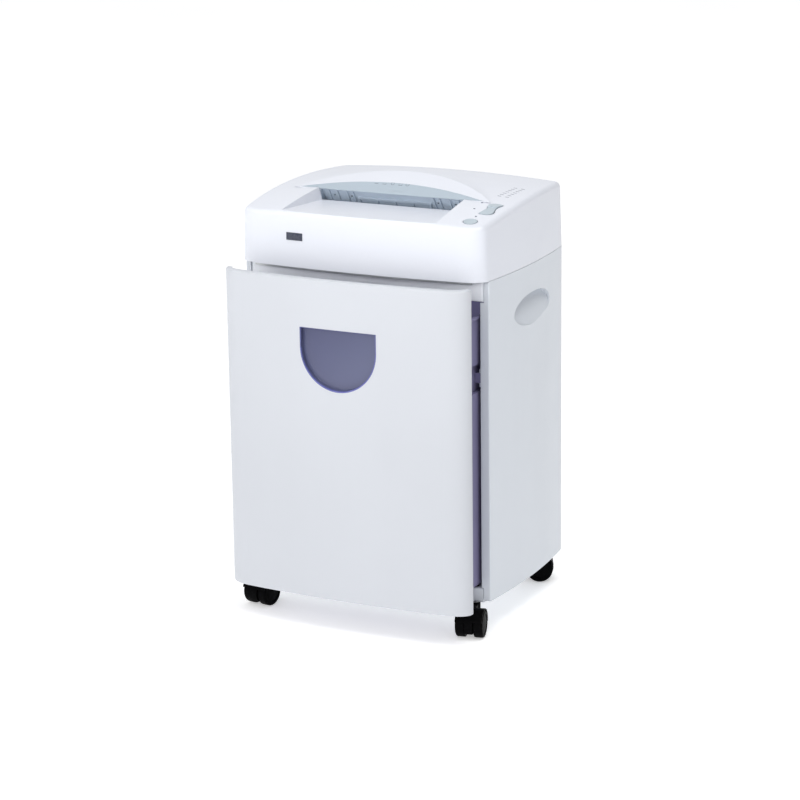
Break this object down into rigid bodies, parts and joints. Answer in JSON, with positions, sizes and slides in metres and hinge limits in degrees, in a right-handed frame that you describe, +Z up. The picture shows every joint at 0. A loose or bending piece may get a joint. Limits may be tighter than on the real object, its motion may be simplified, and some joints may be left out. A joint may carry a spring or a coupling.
{
  "type": "paper shredder",
  "caption": "Free-standing paper shredder on castors with a rounded cabinet, pull-out waste drawer, side grips and a top cutting head under an arched feed hood.",
  "frame": {"origin": "on the floor, under the middle of the box the machine fills at rest, with the drawer standing ajar", "axes": "+Z up, the front with the drawer and feed ledge faces -Y, +X is the side with the power button"},
  "size_m": [0.402, 0.3784, 0.6408],
  "materials": {
    "white_abs": "fine satin moulded plastic, cool white",
    "grey_abs": "satin moulded plastic, blue-grey",
    "key_grey": "satin moulded plastic, light grey-blue",
    "window_violet": "polished translucent plastic, blue-violet",
    "bin_violet": "fine grained moulded plastic, dark violet-grey",
    "castor_black": "glossy black nylon",
    "wheel_black": "black nylon wheel",
    "steel": "brushed zinc-plated steel",
    "cutter_steel": "ground hardened steel, oiled",
    "gear_nylon": "natural nylon",
    "bronze": "sintered bronze",
    "motor_paint": "black enamel",
    "board_green": "circuit board lacquer",
    "black_plastic": "black moulded plastic",
    "lens": "clear tinted lens",
    "badge_dark": "dark printed plate",
    "capacitor_alu": "drawn aluminium can"
  },
  "bodies": {
    "frame": {"side_panel_left": "white_abs", "side_panel_right": "white_abs", "back_panel": "white_abs", "base_tray": "white_abs", "front_top_rail": "white_abs", "head_base": "steel", "head_cover": "white_abs", "feed_hood": "white_abs", "hood_fascia": "grey_abs", "throat_rear_guide": "grey_abs", "throat_front_guide": "grey_abs", "indicator_lenses": "lens", "control_board": "board_green", "badge": "badge_dark", "power_inlet": "black_plastic", "mech_plate_left": "steel", "mech_plate_right": "steel", "tie_rods": "steel", "stripper_front": "black_plastic", "stripper_rear": "black_plastic", "cutter_bushings": "bronze", "gear_axle": "steel", "motor_housing": "motor_paint", "start_capacitor": "capacitor_alu", "paper_sensors": "black_plastic", "cabinet_rail_left": "white_abs", "cabinet_rail_right": "white_abs", "drawer_switch": "black_plastic", "cabinet_screws": "steel", "head_screws": "steel", "castor_stems": "steel", "castor_sockets": "black_plastic"},
    "drawer": {"drawer_front": "white_abs", "drawer_window": "window_violet", "waste_bin": "bin_violet", "drawer_runner_left": "bin_violet", "drawer_runner_right": "bin_violet", "drawer_magnet": "steel"},
    "power_key": {"power_button": "key_grey"},
    "mode_rocker": {"function_rocker": "key_grey"},
    "cutter_roller_rear": {"cutter_rear": "cutter_steel", "cutter_gear_rear": "steel"},
    "cutter_roller_front": {"cutter_front": "cutter_steel", "cutter_gear_front": "steel"},
    "reduction": {"reduction_gear": "gear_nylon"},
    "rotor": {"motor_shaft": "steel", "motor_pinion": "steel"},
    "castor_fl": {"castor_fl_housing": "castor_black"},
    "castor_fl_wheel_a": {"castor_fl_wheel_a": "wheel_black"},
    "castor_fl_wheel_b": {"castor_fl_wheel_b": "wheel_black"},
    "castor_fr": {"castor_fr_housing": "castor_black"},
    "castor_fr_wheel_a": {"castor_fr_wheel_a": "wheel_black"},
    "castor_fr_wheel_b": {"castor_fr_wheel_b": "wheel_black"},
    "castor_rl": {"castor_rl_housing": "castor_black"},
    "castor_rl_wheel_a": {"castor_rl_wheel_a": "wheel_black"},
    "castor_rl_wheel_b": {"castor_rl_wheel_b": "wheel_black"},
    "castor_rr": {"castor_rr_housing": "castor_black"},
    "castor_rr_wheel_a": {"castor_rr_wheel_a": "wheel_black"},
    "castor_rr_wheel_b": {"castor_rr_wheel_b": "wheel_black"}
  },
  "joints": [
    {"name": "drawer_slide", "type": "slide", "parent": "frame", "child": "drawer", "axis": [0, -1, 0], "range_m": [-0.0546, 0.135]},
    {"name": "power_key_press", "type": "slide", "parent": "frame", "child": "power_key", "axis": [-0.0678, 0.1834, -0.9807], "range_m": [0, 0.0015], "stiffness_N_per_m": 400},
    {"name": "mode_rocker_tilt", "type": "hinge", "parent": "frame", "child": "mode_rocker", "pos_m": [0.17248, -0.04502, 0.60633], "axis": [0.9975, 0.0046, -0.0706], "range_deg": [-5, 5], "stiffness_Nm_per_rad": 0.6},
    {"name": "cutter_rear_spin", "type": "hinge", "parent": "frame", "child": "cutter_roller_rear", "pos_m": [-0.13, 0.0165, 0.545], "axis": [1, 0, 0], "continuous": true},
    {"name": "cutter_front_spin", "type": "hinge", "parent": "frame", "child": "cutter_roller_front", "pos_m": [-0.13, -0.0205, 0.545], "axis": [1, 0, 0], "continuous": true},
    {"name": "reduction_spin", "type": "hinge", "parent": "frame", "child": "reduction", "pos_m": [-0.13, 0.03553, 0.56768], "axis": [1, 0, 0], "continuous": true},
    {"name": "rotor_spin", "type": "hinge", "parent": "frame", "child": "rotor", "pos_m": [-0.13, 0.07736, 0.56019], "axis": [1, 0, 0], "continuous": true},
    {"name": "castor_fl_swivel", "type": "hinge", "parent": "frame", "child": "castor_fl", "pos_m": [-0.169, -0.0968, 0.04], "axis": [0, 0, 1], "continuous": true},
    {"name": "castor_fl_roll_a", "type": "hinge", "parent": "castor_fl", "child": "castor_fl_wheel_a", "pos_m": [-0.15995, -0.12584, 0.02], "axis": [0.9903, -0.1392, 0], "continuous": true},
    {"name": "castor_fl_roll_b", "type": "hinge", "parent": "castor_fl", "child": "castor_fl_wheel_b", "pos_m": [-0.1857, -0.12222, 0.02], "axis": [0.9903, -0.1392, 0], "continuous": true},
    {"name": "castor_fr_swivel", "type": "hinge", "parent": "frame", "child": "castor_fr", "pos_m": [0.169, -0.0968, 0.04], "axis": [0, 0, 1], "continuous": true},
    {"name": "castor_fr_roll_a", "type": "hinge", "parent": "castor_fr", "child": "castor_fr_wheel_a", "pos_m": [0.18827, -0.12034, 0.02], "axis": [0.9703, 0.2419, 0], "continuous": true},
    {"name": "castor_fr_roll_b", "type": "hinge", "parent": "castor_fr", "child": "castor_fr_wheel_b", "pos_m": [0.16304, -0.12663, 0.02], "axis": [0.9703, 0.2419, 0], "continuous": true},
    {"name": "castor_rl_swivel", "type": "hinge", "parent": "frame", "child": "castor_rl", "pos_m": [-0.127, 0.149, 0.04], "axis": [0, 0, 1], "continuous": true},
    {"name": "castor_rl_roll_a", "type": "hinge", "parent": "castor_rl", "child": "castor_rl_wheel_a", "pos_m": [-0.15693, 0.14356, 0.02], "axis": [-0.2588, -0.9659, 0], "continuous": true},
    {"name": "castor_rl_roll_b", "type": "hinge", "parent": "castor_rl", "child": "castor_rl_wheel_b", "pos_m": [-0.1502, 0.16867, 0.02], "axis": [-0.2588, -0.9659, 0], "continuous": true},
    {"name": "castor_rr_swivel", "type": "hinge", "parent": "frame", "child": "castor_rr", "pos_m": [0.127, 0.149, 0.04], "axis": [0, 0, 1], "continuous": true},
    {"name": "castor_rr_roll_a", "type": "hinge", "parent": "castor_rr", "child": "castor_rr_wheel_a", "pos_m": [0.1456, 0.17307, 0.02], "axis": [-0.454, 0.891, 0], "continuous": true},
    {"name": "castor_rr_roll_b", "type": "hinge", "parent": "castor_rr", "child": "castor_rr_wheel_b", "pos_m": [0.1574, 0.1499, 0.02], "axis": [-0.454, 0.891, 0], "continuous": true}
  ],
  "couplings": [
    {"joint": "cutter_front_spin", "follows": "cutter_rear_spin", "ratio": -1},
    {"joint": "reduction_spin", "follows": "cutter_rear_spin", "ratio": -1.6667},
    {"joint": "rotor_spin", "follows": "cutter_rear_spin", "ratio": 7.7778}
  ]
}
